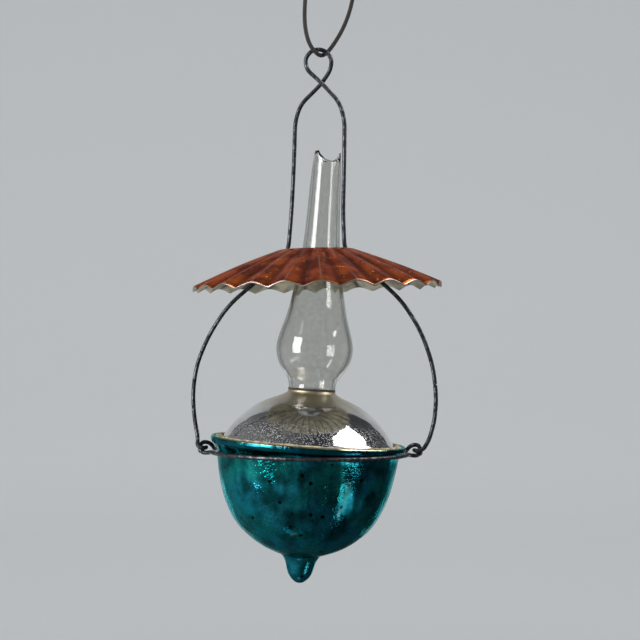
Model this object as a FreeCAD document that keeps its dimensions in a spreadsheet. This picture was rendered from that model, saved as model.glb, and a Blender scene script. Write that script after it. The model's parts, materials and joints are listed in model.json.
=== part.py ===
import FreeCAD, Part
import math
import os
import Sketcher

# A glass hanging-lamp ornament: a cord loop carries a bent-wire bail, the bail
# carries a loose pleated shade on its shoulders and a wire ring in its two hooks,
# and a blown-glass lamp (bowl, dome and chimney) sits in the ring.
# Frame: +Z up, +X to the lamp's right, -Y to its front; millimetres.
# The origin is the top of the knot that ties the cord loop.

doc = FreeCAD.newDocument("lamp_ornament")

# ---------------------------------------------------------------- dimensions
DIMENSIONS = {
    # round stock
    "wire_diameter": 1.05,
    "cord_diameter": 1.0,
    "knot_radius": 1.7,
    # the bail's eye, a ring bent into the middle of its wire
    "eye_radius": 3.2,
    "eye_side": -0.35,
    "eye_height": -35.6,
    "strand_offset": 0.6,
    # pleated tin shade
    "shade_side": -0.9,
    "shade_height": -82.4,
    "shade_roll": -1.2,
    "shade_hole": 8.2,
    "shade_collar": 9.4,
    "shade_radius": 31.0,
    "shade_drop": 9.2,
    "shade_sheet": 0.5,
    "pleat_count": 23,
    "pleat_rise": 0.62,
    # wire ring and its two ears
    "ring_side": -2.5,
    "ring_height": -132.95,
    "ring_roll": 0.8,
    "ring_lean": -1.8,
    "ring_long": 24.8,
    "ring_short": 24.0,
    "ear_left": 26.0,
    "ear_right": 26.1,
    "ear_radius": 1.28,
    "ear_rise": 0.75,
    # how the glass lamp sits in the ring
    "lamp_side": -2.9,
    "lamp_height": -130.5,
    "lamp_roll": 3.8,
    "lamp_lean": -1.8,
    # lower glass: lip, elliptical bowl and drawn-out drop
    "glass_wall": 0.9,
    "lip_radius": 24.35,
    "lip_top": 0.5,
    "bowl_radius": 22.45,
    "bowl_depth": 24.9,
    "bowl_waist": 3.6,
    "drop_radius": 3.5,
    "drop_tip": 34.9,
    # upper glass: spherical dome with a neck
    "dome_wall": 0.8,
    "dome_radius": 21.5,
    "dome_curve": 24.1,
    "dome_foot": 2.4,
    "neck_radius": 5.9,
    "neck_top": 13.0,
    # cement joints
    "joint_gap": 0.06,
    "neck_joint": 0.5,
    # chimney
    "chimney_wall": 0.6,
    "bulb_radius": 9.6,
    "bulb_height": 23.4,
    "chimney_tip": 3.3,
    "chimney_height": 73.3,
}

sheet = doc.addObject("Spreadsheet::Sheet", "Sheet")
for row, (alias, number) in enumerate(DIMENSIONS.items(), start=1):
    sheet.set("A%d" % row, alias)
    sheet.set("B%d" % row, str(number))
    sheet.setAlias("B%d" % row, alias)
doc.recompute()


def size(alias):
    """The number that a cell of the sheet holds."""
    return float(sheet.get(alias))


def worked_out(expression):
    """The number that an expression on the sheet's cells gives now."""
    return float(sheet.evalExpression(expression))


def cell(text):
    """An expression with each cell's alias written out as Sheet.alias."""
    words = text.split(" ")
    return " ".join("Sheet." + word if word in DIMENSIONS else word for word in words)


# ------------------------------------------------------------ turned pieces
def origin_plane(body, role):
    """One of a body's own origin planes or axes."""
    for feature in body.Origin.OriginFeatures:
        if feature.Role == role:
            return feature
    raise RuntimeError("no origin feature " + role)


def new_sketch(body, name, role):
    """A sketch lying on one of the body's own origin planes."""
    sketch = body.newObject("Sketcher::SketchObject", name)
    sketch.AttachmentSupport = [(origin_plane(body, role), "")]
    sketch.MapMode = "FlatFace"
    return sketch


def pin(sketch, geometry, vertex, across, along):
    """Hold a point at two expressions, measured from the sketch's origin."""
    for kind, text in (("DistanceX", across), ("DistanceY", along)):
        number = worked_out(cell(text))
        if kind == "DistanceX" and abs(number) < 1e-9:
            sketch.addConstraint(Sketcher.Constraint("PointOnObject", geometry, vertex, -2))
            continue
        index = sketch.addConstraint(Sketcher.Constraint(kind, -1, 1, geometry, vertex, number))
        sketch.setExpression("Constraints[%d]" % index, cell(text))


def crown_point(start, end):
    """A point between two others on the arc that joins them and has its centre on the axis."""
    height = (end.x ** 2 + end.y ** 2 - start.x ** 2 - start.y ** 2) / (2 * (end.y - start.y))
    centre = FreeCAD.Vector(0, height, 0)
    middle = (start + end) / 2 - centre
    middle.normalize()
    return centre + middle * (start - centre).Length


def draw_outline(sketch, outline):
    """Closed outline, each step ending at its last two expressions, across and along.

    Two expressions are a straight line. Four are an arc that goes through the first two.
    "crown" and two are an arc with its centre on the axis, as at the pole of a turned shape.
    """
    def place(point):
        return FreeCAD.Vector(worked_out(cell(point[0])), worked_out(cell(point[1])), 0)

    corners = [step[-2:] for step in outline]
    first = None
    previous = None
    for index, step in enumerate(outline):
        start = place(corners[index - 1])
        end = place(corners[index])
        if len(step) == 2:
            geometry = sketch.addGeometry(Part.LineSegment(start, end), False)
            entry, leave = 1, 2
        else:
            via = place(step[:2]) if len(step) == 4 else crown_point(start, end)
            geometry = sketch.addGeometry(Part.Arc(start, via, end), False)
            turn = (via - start).cross(end - via).z
            entry, leave = (1, 2) if turn > 0 else (2, 1)
            if len(step) == 4:
                marker = sketch.addGeometry(Part.Point(via), True)
                pin(sketch, marker, 1, *step[:2])
                sketch.addConstraint(Sketcher.Constraint("PointOnObject", marker, 1, geometry))
            else:
                sketch.addConstraint(Sketcher.Constraint("PointOnObject", geometry, 3, -2))
        pin(sketch, geometry, leave, *corners[index])
        if previous is None:
            first = (geometry, entry)
        else:
            sketch.addConstraint(Sketcher.Constraint("Coincident", *previous, geometry, entry))
        previous = (geometry, leave)
    sketch.addConstraint(Sketcher.Constraint("Coincident", *previous, *first))


def turned(label, outline):
    """A body turned about its own Z axis from an outline in its XZ plane."""
    body = doc.addObject("PartDesign::Body", label)
    body.Label = label
    sketch = new_sketch(body, label + "_outline", "XZ_Plane")
    draw_outline(sketch, outline)
    doc.recompute()
    revolution = body.newObject("PartDesign::Revolution", label + "_turned")
    revolution.Profile = sketch
    revolution.ReferenceAxis = (sketch, ["V_Axis"])
    revolution.Angle = 360.0
    sketch.Visibility = False
    return body


# --------------------------------------------------------------- bent wires
def rounded_path(points, closed=False):
    """Straight runs joined by tangent arcs, each arc as large as its two runs allow."""
    corners = [FreeCAD.Vector(*point) for point in points]
    count = len(corners)
    turning = range(count) if closed else range(1, count - 1)
    cuts = {}
    radii = []
    for index in turning:
        here = corners[index]
        back = corners[index - 1] - here
        ahead = corners[(index + 1) % count] - here
        reach = 0.45 * min(back.Length, ahead.Length)
        half_turn = (math.pi - back.getAngle(ahead)) / 2
        radius = reach / math.tan(half_turn)
        back.normalize()
        ahead.normalize()
        start = here + back * reach
        end = here + ahead * reach
        bisector = back + ahead
        bisector.normalize()
        middle = here + bisector * (radius / math.cos(half_turn) - radius)
        cuts[index] = (start, middle, end)
        radii.append(radius)
    edges = []
    runs = count if closed else count - 1
    for index in range(runs):
        following = (index + 1) % count
        run_start = cuts[index][2] if index in cuts else corners[index]
        run_end = cuts[following][0] if following in cuts else corners[following]
        edges.append(Part.LineSegment(run_start, run_end).toShape())
        if following in cuts:
            edges.append(Part.Arc(*cuts[following]).toShape())
    return Part.Wire(edges), radii


def swept(label, points, diameter_cell, closed=False):
    """A round wire or cord swept along a rounded path."""
    wire, radii = rounded_path(points, closed)
    path = doc.addObject("Part::Feature", label + "_path")
    path.Shape = wire
    section = doc.addObject("Part::Circle", label + "_section")
    section.setExpression("Radius", "Sheet.%s / 2" % diameter_cell)
    first = wire.Edges[0]
    along = first.tangentAt(first.FirstParameter)
    turn = FreeCAD.Rotation(FreeCAD.Vector(0, 0, 1), along)
    section.Placement = FreeCAD.Placement(first.valueAt(first.FirstParameter), turn)
    sweep = doc.addObject("Part::Sweep", label)
    sweep.Label = label
    sweep.Sections = [section]
    sweep.Spine = (path, ["Edge%d" % (index + 1) for index in range(len(wire.Edges))])
    sweep.Solid = True
    sweep.Frenet = False
    doc.recompute()
    expected = math.pi * (size(diameter_cell) / 2) ** 2 * wire.Length
    print("%s: length %.1f mm, volume %.2f of %.2f mm3, smallest arc %.2f mm"
          % (label, wire.Length, sweep.Shape.Volume, expected, min(radii)))
    return sweep


# ------------------------------------------------------------- placed frames
def tilted(side, height, roll, lean):
    """A place on the lamp's X and Z, leaning back about X, then rolled about Y."""
    base = FreeCAD.Vector(size(side), 0, size(height))
    return FreeCAD.Placement(base, FreeCAD.Rotation(0, size(roll), size(lean)))


LAMP_SEAT = tilted("lamp_side", "lamp_height", "lamp_roll", "lamp_lean")
RING_SEAT = tilted("ring_side", "ring_height", "ring_roll", "ring_lean")


# ---------------------------------------------------------------- cord loop
def build_cord():
    """The cord loop: down the left, in front of the eye, under it, up behind."""
    # route of the cord, x, y, z, from the knot and back to it
    route = [
        (-0.7, -0.1, -2.2),
        (-2.0, -0.4, -7.0),
        (-3.1, -0.8, -13.5),
        (-3.7, -1.3, -20.0),
        (-3.9, -2.0, -26.3),
        (-2.9, -2.3, -31.2),
        (-0.9, -1.35, -33.8),
        (0.8, 1.35, -33.8),
        (3.0, 2.3, -31.4),
        (6.2, 1.7, -26.2),
        (8.2, 0.9, -20.2),
        (8.9, 0.5, -13.6),
        (7.2, 0.2, -7.4),
        (3.4, 0.1, -3.4),
        (0.8, 0.1, -2.0),
    ]
    return swept("hanging_cord", route, "cord_diameter")


def build_knot():
    """The knot that closes the cord loop, with its top at the origin."""
    knot = doc.addObject("Part::Ellipsoid", "cord_knot")
    knot.Label = "cord_knot"
    knot.setExpression("Radius1", "Sheet.knot_radius")
    knot.setExpression("Radius2", "Sheet.knot_radius * 1.15")
    knot.setExpression("Radius3", "Sheet.knot_radius * 0.9")
    knot.Angle1 = -90.0
    knot.setExpression("Placement.Base.z", "-Sheet.knot_radius")
    return knot


# --------------------------------------------------------------- bail wire
def ear_centre(side):
    """Where one of the ring's ears has its middle, in the lamp's own frame."""
    reach = size("ear_right") if side > 0 else -size("ear_left")
    return RING_SEAT.multVec(FreeCAD.Vector(reach, 0, size("ear_rise")))


def hook(side):
    """Corners of the hook that goes through an ear, from its tail to the leg."""
    ear = ear_centre(side)
    reach = 1.4
    outward = 2.0 * side
    return [
        (ear.x + outward, reach, ear.z - 1.1),
        (ear.x, reach, ear.z),
        (ear.x, -reach, ear.z),
        (ear.x + outward, -reach, ear.z + 0.2),
    ]


def eye():
    """Corners round the bail's eye, from its lower right over the top to its lower left."""
    corners = 6
    first, last = math.radians(-32), math.radians(212)
    step = (last - first) / (corners - 1)
    reach = size("eye_radius") / math.cos(step / 2)
    middle = (corners - 1) / 2
    strand = size("strand_offset")
    points = []
    for index in range(corners):
        angle = first + step * index
        across = size("eye_side") + reach * math.cos(angle)
        depth = 0.6 * strand * (middle - index) / middle
        points.append((across, depth, size("eye_height") + reach * math.sin(angle)))
    return points


def build_bail():
    """The bail: one wire, hook to hook, with an eye where its two legs cross."""
    strand = size("strand_offset")
    left_leg = [
        (-30.5, -0.5, -129.2),
        (-31.4, 0, -124.5),
        (-31.8, 0, -118.3),
        (-30.9, 0, -111.4),
        (-28.0, 0, -104.2),
        (-23.2, 0, -96.6),
        (-16.2, 0, -90.6),
        (-10.2, 0, -85.8),
        (-7.9, 0, -82.4),
        (-7.1, 0, -73.0),
        (-6.5, 0, -61.0),
        (-6.2, 0, -50.5),
        (-4.9, 0.35 * strand, -46.2),
        (0.35, strand, -40.9),
    ]
    right_leg = [
        (0.45, -strand, -40.9),
        (4.8, -0.35 * strand, -45.5),
        (6.15, 0, -50.0),
        (6.05, 0, -60.5),
        (5.75, 0, -73.5),
        (6.15, 0, -82.2),
        (8.5, 0, -85.4),
        (14.2, 0, -89.5),
        (20.5, 0, -95.2),
        (25.4, 0, -103.0),
        (28.3, 0, -111.6),
        (29.1, 0, -119.6),
        (28.6, 0, -125.4),
        (27.2, -0.5, -130.0),
    ]
    route = hook(-1) + left_leg + eye() + right_leg + hook(1)[::-1]
    return swept("bail_wire", route, "wire_diameter")


# ------------------------------------------------------------- pleated shade
def build_shade():
    """Pleated tin shade: a flat collar round the hole, then one pleat repeated round it."""
    body = doc.addObject("PartDesign::Body", "pleated_shade")
    body.Label = "pleated_shade"

    rings = new_sketch(body, "collar_rings", "XY_Plane")
    for radius in ("shade_hole", "shade_collar + 0.2"):
        text = cell(radius)
        circle = Part.Circle(FreeCAD.Vector(0, 0, 0), FreeCAD.Vector(0, 0, 1), worked_out(text))
        geometry = rings.addGeometry(circle, False)
        rings.addConstraint(Sketcher.Constraint("Coincident", geometry, 3, -1, 1))
        index = rings.addConstraint(Sketcher.Constraint("Radius", geometry, worked_out(text)))
        rings.setExpression("Constraints[%d]" % index, text)
    doc.recompute()
    collar = body.newObject("PartDesign::Pad", "collar")
    collar.Profile = rings
    collar.setExpression("Length", "Sheet.shade_sheet")
    collar.Midplane = True

    # a pleat is one strip: a valley at each side, a rounded crest between
    crest = ((-1, -1), (-0.55, 0.35), (0, 1), (0.55, 0.35), (1, -1))
    sections = []
    for name, radius, fall, rise in (("pleat_root", "shade_collar", "0", "0"),
                                     ("pleat_rim", "shade_radius", "shade_drop", "pleat_rise")):
        section = new_sketch(body, name, "YZ_Plane")
        section.setExpression("AttachmentOffset.Base.z", cell(radius))
        outline = []
        half = "( %s * tan( 180 / pleat_count ) )" % radius
        for across, lift in crest:
            outline.append(("%s * %s" % (across, half),
                            "%s * %s - %s + shade_sheet / 2" % (lift, rise, fall)))
        for across, lift in reversed(crest):
            outline.append(("%s * %s" % (across, half),
                            "%s * %s - %s - shade_sheet / 2" % (lift, rise, fall)))
        draw_outline(section, outline)
        sections.append(section)
    doc.recompute()
    pleat = body.newObject("PartDesign::AdditiveLoft", "pleat")
    pleat.Profile = sections[0]
    pleat.Sections = [sections[1]]
    pleat.Ruled = True
    doc.recompute()
    pleats = body.newObject("PartDesign::PolarPattern", "pleats")
    pleats.Originals = [pleat]
    pleats.Axis = (origin_plane(body, "Z_Axis"), [""])
    pleats.Angle = 360.0
    pleats.setExpression("Occurrences", "Sheet.pleat_count")
    body.Tip = pleats
    body.Placement = FreeCAD.Placement(
        FreeCAD.Vector(size("shade_side"), 0, size("shade_height")),
        FreeCAD.Rotation(0, size("shade_roll"), 0))
    return body


# ---------------------------------------------------------------- ring wire
def build_ring():
    """The ring under the lip: an oval of wire with an ear twisted up at each end."""
    corners = 16
    reach = 1 / math.cos(math.pi / corners)
    oval = []
    for index in range(corners):
        angle = 2 * math.pi * (index + 0.5) / corners
        oval.append((size("ring_long") * reach * math.cos(angle),
                     size("ring_short") * reach * math.sin(angle), 0))
    hoop = swept("ring_hoop", oval, "wire_diameter", closed=True)
    ears = []
    for name, reach_cell, sign in (("left", "ear_left", "-"), ("right", "ear_right", "")):
        ear = doc.addObject("Part::Torus", name + "_ear")
        ear.setExpression("Radius1", "Sheet.ear_radius")
        ear.setExpression("Radius2", "Sheet.wire_diameter / 2")
        upright = FreeCAD.Rotation(FreeCAD.Vector(1, 0, 0), 90)
        ear.Placement = FreeCAD.Placement(FreeCAD.Vector(), upright)
        ear.setExpression("Placement.Base.x", "%sSheet.%s" % (sign, reach_cell))
        ear.setExpression("Placement.Base.z", "Sheet.ear_rise")
        ears.append(ear)
    ring = doc.addObject("Part::MultiFuse", "ring_wire")
    ring.Label = "ring_wire"
    ring.Shapes = [hoop] + ears
    ring.Placement = RING_SEAT
    return ring


# --------------------------------------------------------------- glass lamp
def round_bowl(wall, angles):
    """Points on the bowl's ellipse, a wall's thickness inside it."""
    across = "( bowl_radius - %s ) * cos( %g )"
    along = "- bowl_waist - ( bowl_depth - %s ) * sin( %g )"
    return [(across % (wall, angle), along % (wall, angle)) for angle in angles]


def build_bowl():
    """Lower glass: upturned lip, elliptical bowl and the drop drawn out under it."""
    outer = round_bowl("0", (0, 13, 26, 37, 48, 60, 72))
    inner = round_bowl("glass_wall", (90, 62, 45, 28, 14, 0))
    outline = [
        ("lip_radius - glass_wall", "lip_top"),
        ("lip_radius", "lip_top"),
        ("lip_radius", "- 0.3"),
        ("lip_radius - 0.45", "- 1.2", "lip_radius - 1.35", "- 1.85"),
        outer[0],
        (*outer[1], *outer[2]),
        (*outer[3], *outer[4]),
        (*outer[5], *outer[6]),
        ("drop_radius * 1.3", "- drop_tip + 6.8", "drop_radius * 1.1", "- drop_tip + 5.6"),
        ("drop_radius", "- drop_tip + 4", "drop_radius * 0.75", "- drop_tip + 1.8"),
        ("crown", "0", "- drop_tip"),
        inner[0],
        ("crown", *inner[1]),
        (*inner[2], *inner[3]),
        (*inner[4], *inner[5]),
        ("lip_radius - 1.35 - glass_wall", "- 1.85"),
        ("lip_radius - 0.45 - glass_wall", "- 1.2", "lip_radius - glass_wall", "- 0.3"),
    ]
    return turned("glass_bowl", outline)


def build_dome():
    """Upper glass: a spigot inside the lip, a spherical dome and a short neck."""
    centre = "sqrt( dome_curve ^ 2 - dome_radius ^ 2 )"

    def cap(wall, height):
        across = "sqrt( ( dome_curve - %s ) ^ 2 - ( %s + %s ) ^ 2 )" % (wall, height, centre)
        return (across, height)

    outline = [
        ("dome_radius - 0.15", "- dome_foot"),
        cap("0", "0"),
        (*cap("0", "7"), *cap("0", "12.1")),
        ("neck_radius + 0.3", "12.55", "neck_radius", "neck_top"),
        ("neck_radius - dome_wall", "neck_top"),
        ("neck_radius - dome_wall", "12.1"),
        cap("dome_wall", "11.5"),
        (*cap("dome_wall", "6.5"), *cap("dome_wall", "0")),
        ("dome_radius - 0.15 - dome_wall", "- dome_foot"),
    ]
    return turned("glass_dome", outline)


def build_lip_cement():
    """The cement that fills the channel between the lip and the dome."""
    outline = [
        ("dome_radius + joint_gap", "- 1.2"),
        ("lip_radius - glass_wall - 0.75", "- 1.2"),
        ("lip_radius - glass_wall - joint_gap", "- 0.3"),
        ("lip_radius - glass_wall - joint_gap", "0.1"),
        ("dome_radius + 0.75", "0.35", "dome_radius - 0.35", "1.0"),
        ("dome_radius + joint_gap", "- 0.1"),
    ]
    return turned("lip_cement", outline)


def build_neck_cement():
    """The thin ring of cement between the dome's neck and the chimney's foot."""
    outline = [
        ("neck_radius - dome_wall + 0.1", "neck_top"),
        ("neck_radius - 0.05", "neck_top"),
        ("neck_radius - 0.05", "neck_top + neck_joint"),
        ("neck_radius - dome_wall + 0.1", "neck_top + neck_joint"),
    ]
    return turned("neck_cement", outline)


def build_chimney():
    """The chimney: a straight foot, a bulb and a long taper to an open top."""
    foot = "neck_top + neck_joint"
    outer = [
        ("neck_radius - 0.05", foot),
        ("neck_radius", "14.6"),
        ("neck_radius + 0.4", "15.8", "neck_radius + 1.4", "17.3"),
        ("bulb_radius - 0.75", "bulb_height - 3.2", "bulb_radius", "bulb_height"),
        ("bulb_radius - 0.4", "bulb_height + 2.8", "bulb_radius - 1.55", "bulb_height + 6.6"),
        ("6.55", "36.2", "5.4", "43"),
        ("4.6", "51", "chimney_tip + 0.8", "59"),
        ("chimney_tip", "chimney_height"),
    ]
    inside = []
    ends = [step[-2:] for step in outer]
    for index in range(len(outer) - 1, -1, -1):
        # the inner wall follows the outer one back down, a wall's thickness inside it
        corner = (ends[index][0] + " - chimney_wall", ends[index][1])
        arc = outer[index + 1] if index + 1 < len(outer) else ()
        if len(arc) == 4:
            inside.append((arc[0] + " - chimney_wall", arc[1], *corner))
        else:
            inside.append(corner)
    return turned("chimney_glass", outer + inside)


build_cord()
build_knot()
build_bail()
build_shade()
build_ring()
for glass in (build_bowl(), build_dome(), build_lip_cement(), build_neck_cement(), build_chimney()):
    glass.Placement = LAMP_SEAT
doc.recompute()

# ------------------------------------------------------------------- export
NODES = ("hanging_cord", "cord_knot", "bail_wire", "pleated_shade", "ring_wire",
         "glass_bowl", "glass_dome", "lip_cement", "neck_cement", "chimney_glass")

for item in doc.Objects:
    if "Invalid" in item.State or "Error" in item.State:
        raise RuntimeError("%s did not recompute: %s" % (item.Label, item.State))
os.makedirs("parts", exist_ok=True)
for label in NODES:
    item = doc.getObjectsByLabel(label)[0]
    if item.Shape.isNull() or not item.Shape.isValid():
        raise RuntimeError(label + " has no valid shape")
    item.Shape.exportStep("parts/%s.step" % label)
    print("%s: %d solid(s), %.1f mm3" % (label, len(item.Shape.Solids), item.Shape.Volume))
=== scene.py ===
import json
import math

import bmesh
import bpy
from bpy.props import FloatProperty, FloatVectorProperty, IntProperty, PointerProperty
from mathutils import Matrix, Vector, noise


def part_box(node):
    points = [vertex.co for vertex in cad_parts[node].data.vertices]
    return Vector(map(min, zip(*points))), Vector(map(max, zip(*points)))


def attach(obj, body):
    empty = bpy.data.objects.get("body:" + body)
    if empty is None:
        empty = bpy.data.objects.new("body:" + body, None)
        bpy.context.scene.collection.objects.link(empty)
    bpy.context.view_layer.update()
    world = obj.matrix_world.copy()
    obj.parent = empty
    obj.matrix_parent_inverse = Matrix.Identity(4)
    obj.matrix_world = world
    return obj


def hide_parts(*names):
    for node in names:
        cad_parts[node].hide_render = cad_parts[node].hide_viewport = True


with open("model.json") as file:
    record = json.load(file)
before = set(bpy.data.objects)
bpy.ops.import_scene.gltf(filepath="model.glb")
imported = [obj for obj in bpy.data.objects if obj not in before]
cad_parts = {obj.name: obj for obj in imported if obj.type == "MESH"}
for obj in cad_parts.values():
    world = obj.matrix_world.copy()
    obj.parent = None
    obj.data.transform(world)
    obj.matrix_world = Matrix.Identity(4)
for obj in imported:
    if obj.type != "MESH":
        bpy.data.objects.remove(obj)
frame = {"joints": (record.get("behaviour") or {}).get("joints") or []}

bl_info = {
    "name": "Hanging glass lamp ornament",
    "version": (1, 0, 0),
    "blender": (4, 5, 0),
    "location": "3D View > Sidebar > Glass Lamp",
    "description": "Builds the cord, wires, pleated shade and blown glass of a small hanging lamp ornament",
    "category": "Add Mesh",
}

MM = 0.001


# ------------------------------------------------------------------ settings
def length(name, description, millimetres):
    """A length setting."""
    return FloatProperty(
        name=name, description=description, default=millimetres * MM, unit="LENGTH", precision=5
    )


def angle(name, description, degrees):
    """An angle setting."""
    return FloatProperty(name=name, description=description, default=math.radians(degrees), subtype="ANGLE")


def colour(name, description, red, green, blue):
    """A colour setting."""
    return FloatVectorProperty(
        name=name, description=description, default=(red, green, blue), subtype="COLOR", min=0.0, max=1.0
    )


class LampSizes(bpy.types.PropertyGroup):
    """Sizes and tilts of the lamp's pieces"""

    cord_diameter: length("Cord diameter", "Thickness of the laid cord", 1.0)
    cord_lay: length("Cord lay", "Length of cord in which a ply goes round once", 1.7)
    cord_length: length("Cord length", "Length of the loop's cord, knot to knot", 72.5)
    wire_diameter: length("Wire diameter", "Thickness of the iron wire", 1.05)
    sheet: length("Tin thickness", "Thickness of the shade's tin", 0.28)
    shade_radius: length("Shade radius", "From the shade's middle to its rim", 31.0)
    shade_drop: length("Shade drop", "How far the rim is below the collar", 9.2)
    pleats: IntProperty(name="Pleats", description="Number of pleats round the shade", default=23, min=3)
    pleat_rise: length("Pleat rise", "Height of a pleat at the rim", 1.3)
    first_valley: angle("First valley", "Turn of a pleat's valley from the front", -6.0)
    shade_roll: angle("Shade roll", "Tilt of the shade about the depth axis", -1.2)
    lamp_roll: angle("Lamp roll", "Tilt of the glass about the depth axis", 3.8)
    ring_roll: angle("Ring roll", "Tilt of the wire ring about the depth axis", 0.8)
    lean: angle("Lean", "Tilt of the ring and the glass towards the back", -1.8)
    chimney_wall: length("Chimney wall", "Thickness of the chimney's glass", 0.6)
    chip_depth: length("Chip depth", "How deep the broken rim of the chimney dips", 2.6)


class LampColours(bpy.types.PropertyGroup):
    """Colours of the lamp's finishes"""

    cord: colour("Cord", "Dark fibre of the cord", 0.010, 0.008, 0.007)
    iron: colour("Iron", "Blackened iron wire", 0.017, 0.020, 0.024)
    copper: colour("Lacquer", "Bright parts of the orange lacquer", 0.37, 0.088, 0.012)
    copper_dark: colour("Dark lacquer", "Worn and darkened parts of the lacquer", 0.060, 0.011, 0.004)
    tin: colour("Tin", "Bare underside of the shade", 0.53, 0.49, 0.36)
    cut_tin: colour("Cut tin", "Edge where the lacquer is gone", 0.36, 0.28, 0.25)
    teal: colour("Teal", "Green side of the bowl's lacquer", 0.012, 0.27, 0.26)
    blue: colour("Blue", "Blue side of the bowl's lacquer", 0.014, 0.25, 0.36)
    silver: colour("Silver", "Silvering behind the dome", 0.70, 0.69, 0.68)
    tarnish: colour("Tarnish", "Warm stain round the dome's neck", 0.40, 0.345, 0.225)
    mortar: colour("Mortar", "Cement between dome and lip", 0.42, 0.35, 0.23)
    soot: colour("Soot", "Dark joint between neck and chimney", 0.050, 0.042, 0.034)
    glass: colour("Glass", "Clear glass seen straight through", 0.80, 0.80, 0.775)
    # Painted shade: the dark colour that the clear glass is given where it is seen along its wall.
    glass_edge_shade: colour("Glass edge", "Clear glass seen along its wall", 0.020, 0.024, 0.020)


class StageSettings(bpy.types.PropertyGroup):
    """Camera and light"""

    distance: FloatProperty(
        name="Distance", description="From the lamp to the camera",
        default=0.306, unit="LENGTH",
    )
    height: FloatProperty(
        name="Height", description="The camera's height, below the knot",
        default=-0.100, unit="LENGTH",
    )
    lens: FloatProperty(name="Lens", description="Focal length", default=68.85, unit="CAMERA")
    glow: FloatProperty(
        name="Glow", description="How brightly the softboxes shine",
        default=9.0, min=0.0,
    )
    backdrop: colour("Backdrop", "The pale floor and backdrop", 0.554, 0.565, 0.568)


def sizes():
    """The sizes that the pieces are made with."""
    return bpy.context.scene.lamp_sizes


def colours():
    """The colours that the finishes are made with."""
    return bpy.context.scene.lamp_colours


# -------------------------------------------------------------------- places
def joint_place(name):
    """Where a joint is, in metres."""
    return Vector(next(joint for joint in frame["joints"] if joint["name"] == name)["pos_m"])


def node_middle(name):
    """The middle of a node's box."""
    low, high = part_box(name)
    return (low + high) / 2


def tilted(place, roll, lean=0.0):
    """A place, rolled about Y after leaning about X."""
    return Matrix.Translation(place) @ Matrix.Rotation(roll, 4, "Y") @ Matrix.Rotation(lean, 4, "X")


def lamp_place():
    """The glass lamp's own frame: the middle of its lip, Z along the chimney."""
    return tilted(node_middle("lip_cement"), sizes().lamp_roll, sizes().lean)


def ring_place():
    """The wire ring's own frame."""
    return tilted(joint_place("lamp_rock"), sizes().ring_roll, sizes().lean)


COLLAR_SIDE, COLLAR_HEIGHT = -0.9 * MM, -82.4 * MM


def shade_place():
    """The shade's own frame: the middle of its collar."""
    return tilted(Vector((COLLAR_SIDE, 0, COLLAR_HEIGHT)), sizes().shade_roll)


# -------------------------------------------------------------------- curves
def new_curve(name):
    """An empty curve in space."""
    curve = bpy.data.curves.new(name, "CURVE")
    curve.dimensions = "3D"
    return curve


def spline_curve(name, points, order=3, closed=False, steps=24):
    """A curve of one NURBS spline with these control points."""
    curve = new_curve(name)
    spline = curve.splines.new("NURBS")
    spline.points.add(len(points) - 1)
    for control, point in zip(spline.points, points):
        control.co = (*point, 1.0)
    spline.order_u = order
    spline.use_cyclic_u = closed
    spline.use_endpoint_u = not closed
    spline.resolution_u = steps
    return curve


def mesh_of(curve):
    """A curve's mesh; the curve is used up."""
    holder = bpy.data.objects.new(curve.name, curve)
    mesh = bpy.data.meshes.new_from_object(holder)
    bpy.data.objects.remove(holder)
    bpy.data.curves.remove(curve)
    return mesh


def points_of(curve):
    """The points along a curve that has no bevel."""
    mesh = mesh_of(curve)
    points = [vertex.co.copy() for vertex in mesh.vertices]
    bpy.data.meshes.remove(mesh)
    return points


def tube(curve, radius, roundness=3):
    """A round tube along a curve, closed at its ends."""
    curve.bevel_depth = radius
    curve.bevel_resolution = roundness
    curve.use_fill_caps = True
    return mesh_of(curve)


def bent_curve(name, corners):
    """A wire's curve: straight runs with a round bend at each corner."""
    points = [Vector(corner) for corner in corners]
    knots = [(points[0], points[0], points[0].lerp(points[1], 0.2))]
    for before, here, after in zip(points, points[1:], points[2:]):
        back, ahead = before - here, after - here
        reach = 0.45 * min(back.length, ahead.length)
        turn = math.pi - back.angle(ahead)
        handle = reach * 4 / 3 * math.tan(turn / 4) / math.tan(turn / 2)
        back.normalize()
        ahead.normalize()
        start, end = here + back * reach, here + ahead * reach
        knots.append((start + back * handle, start, start - back * handle))
        knots.append((end - ahead * handle, end, end + ahead * handle))
    knots.append((points[-1].lerp(points[-2], 0.2), points[-1], points[-1]))
    curve = new_curve(name)
    spline = curve.splines.new("BEZIER")
    spline.bezier_points.add(len(knots) - 1)
    for knot, (left, middle, right) in zip(spline.bezier_points, knots):
        knot.handle_left_type = knot.handle_right_type = "FREE"
        knot.handle_left, knot.co, knot.handle_right = left, middle, right
    spline.resolution_u = 6
    return curve


def outline(points, sharp=(), steps=5):
    """Points along a smooth line through (radius, height) pairs in mm, sharp at the numbered ones."""
    curve = new_curve("outline")
    spline = curve.splines.new("BEZIER")
    spline.bezier_points.add(len(points) - 1)
    for number, (knot, (radius, height)) in enumerate(zip(spline.bezier_points, points)):
        knot.co = (radius * MM, 0, height * MM)
        kind = "VECTOR" if number in sharp else "AUTO"
        knot.handle_left_type = knot.handle_right_type = kind
    spline.resolution_u = steps
    return points_of(curve)


# -------------------------------------------------------------------- meshes
def finished(name, mesh, body, node, slot, *materials):
    """Make an object of a mesh, ride it on its body and have it stand for its node."""
    mesh.name = name
    mesh.shade_smooth()
    for material in materials:
        mesh.materials.append(material)
    piece = bpy.data.objects.new(name, mesh)
    bpy.context.scene.collection.objects.link(piece)
    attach(piece, body)
    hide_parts(node)
    return piece


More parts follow.
